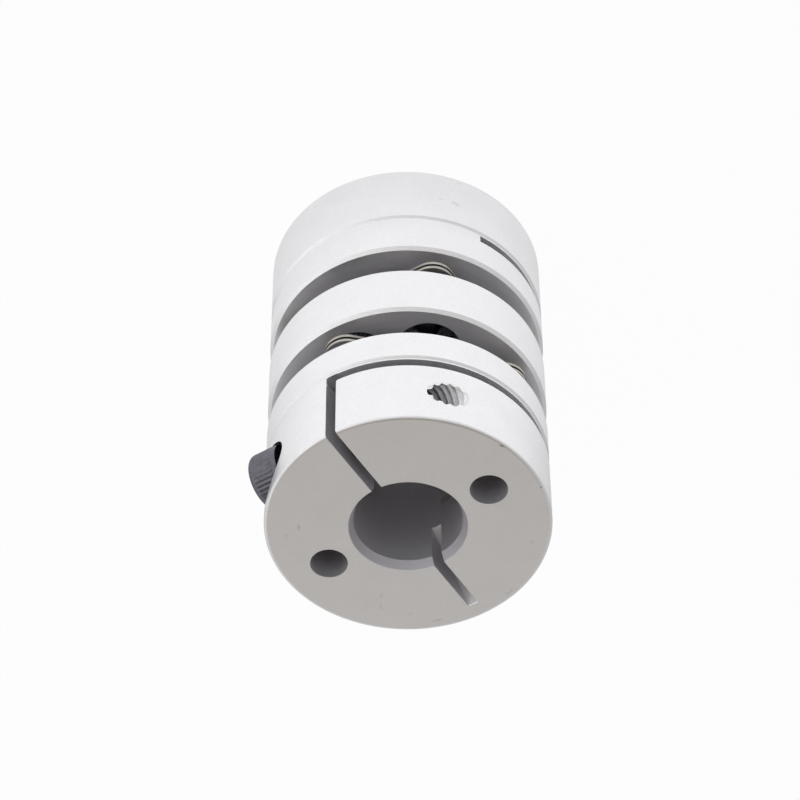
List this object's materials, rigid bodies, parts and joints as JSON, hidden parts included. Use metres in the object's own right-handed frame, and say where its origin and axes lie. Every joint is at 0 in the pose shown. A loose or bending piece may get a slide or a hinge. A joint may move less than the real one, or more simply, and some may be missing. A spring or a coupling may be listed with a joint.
{
  "type": "double disc coupling",
  "caption": "Double disc shaft coupling: two slit clamp hubs and a middle spacer, joined by flexible square spring disc packs.",
  "frame": {"origin": "centre of the lower hub's shaft end, on the shaft axis", "axes": "+Z along the shaft axis, from the lower hub to the upper hub; +Y through the upper hub's clamping slit; +X towards the upper hub's jaw"},
  "size_m": [0.0365, 0.034, 0.0473],
  "materials": {
    "hub_aluminium": "satin",
    "spacer_aluminium": "satin",
    "spring_steel": "satin",
    "black_screw_steel": "satin",
    "ring_steel": "satin"
  },
  "bodies": {
    "lower_hub": {"lower_hub": "hub_aluminium", "lower_clamp_screw": "black_screw_steel", "lower_hub_bolt_1": "black_screw_steel", "lower_hub_washer_1": "ring_steel", "lower_hub_collar_1": "ring_steel", "lower_hub_bolt_2": "black_screw_steel", "lower_hub_washer_2": "ring_steel", "lower_hub_collar_2": "ring_steel"},
    "lower_discs": {"lower_disc_outer": "spring_steel", "lower_disc_shims": "spring_steel", "lower_disc_inner": "spring_steel"},
    "spacer": {"spacer": "spacer_aluminium", "lower_spacer_bolt_1": "black_screw_steel", "lower_spacer_washer_1": "ring_steel", "lower_spacer_collar_1": "ring_steel", "lower_spacer_bolt_2": "black_screw_steel", "lower_spacer_washer_2": "ring_steel", "lower_spacer_collar_2": "ring_steel", "upper_spacer_bolt_1": "black_screw_steel", "upper_spacer_washer_1": "ring_steel", "upper_spacer_collar_1": "ring_steel", "upper_spacer_bolt_2": "black_screw_steel", "upper_spacer_washer_2": "ring_steel", "upper_spacer_collar_2": "ring_steel"},
    "upper_discs": {"upper_disc_outer": "spring_steel", "upper_disc_shims": "spring_steel", "upper_disc_inner": "spring_steel"},
    "upper_hub": {"upper_hub": "hub_aluminium", "upper_clamp_screw": "black_screw_steel", "upper_hub_bolt_1": "black_screw_steel", "upper_hub_washer_1": "ring_steel", "upper_hub_collar_1": "ring_steel", "upper_hub_bolt_2": "black_screw_steel", "upper_hub_washer_2": "ring_steel", "upper_hub_collar_2": "ring_steel"}
  },
  "joints": [
    {"name": "lower_hub_flex", "type": "hinge", "parent": "lower_hub", "child": "lower_discs", "pos_m": [0, 0, 0.01775], "axis": [0.7071, 0.7071, 0], "range_deg": [-1, 1], "stiffness_Nm_per_rad": 20, "deforming": ["lower_disc_outer", "lower_disc_shims", "lower_disc_inner"]},
    {"name": "lower_spacer_flex", "type": "hinge", "parent": "lower_discs", "child": "spacer", "pos_m": [0, 0, 0.01775], "axis": [-0.7071, 0.7071, 0], "range_deg": [-1, 1], "stiffness_Nm_per_rad": 20},
    {"name": "upper_spacer_flex", "type": "hinge", "parent": "spacer", "child": "upper_discs", "pos_m": [0, 0, 0.02955], "axis": [1, 0, 0], "range_deg": [-1, 1], "stiffness_Nm_per_rad": 20, "deforming": ["upper_disc_outer", "upper_disc_shims", "upper_disc_inner"]},
    {"name": "upper_hub_flex", "type": "hinge", "parent": "upper_discs", "child": "upper_hub", "pos_m": [0, 0, 0.02955], "axis": [0, 1, 0], "range_deg": [-1, 1], "stiffness_Nm_per_rad": 20}
  ]
}
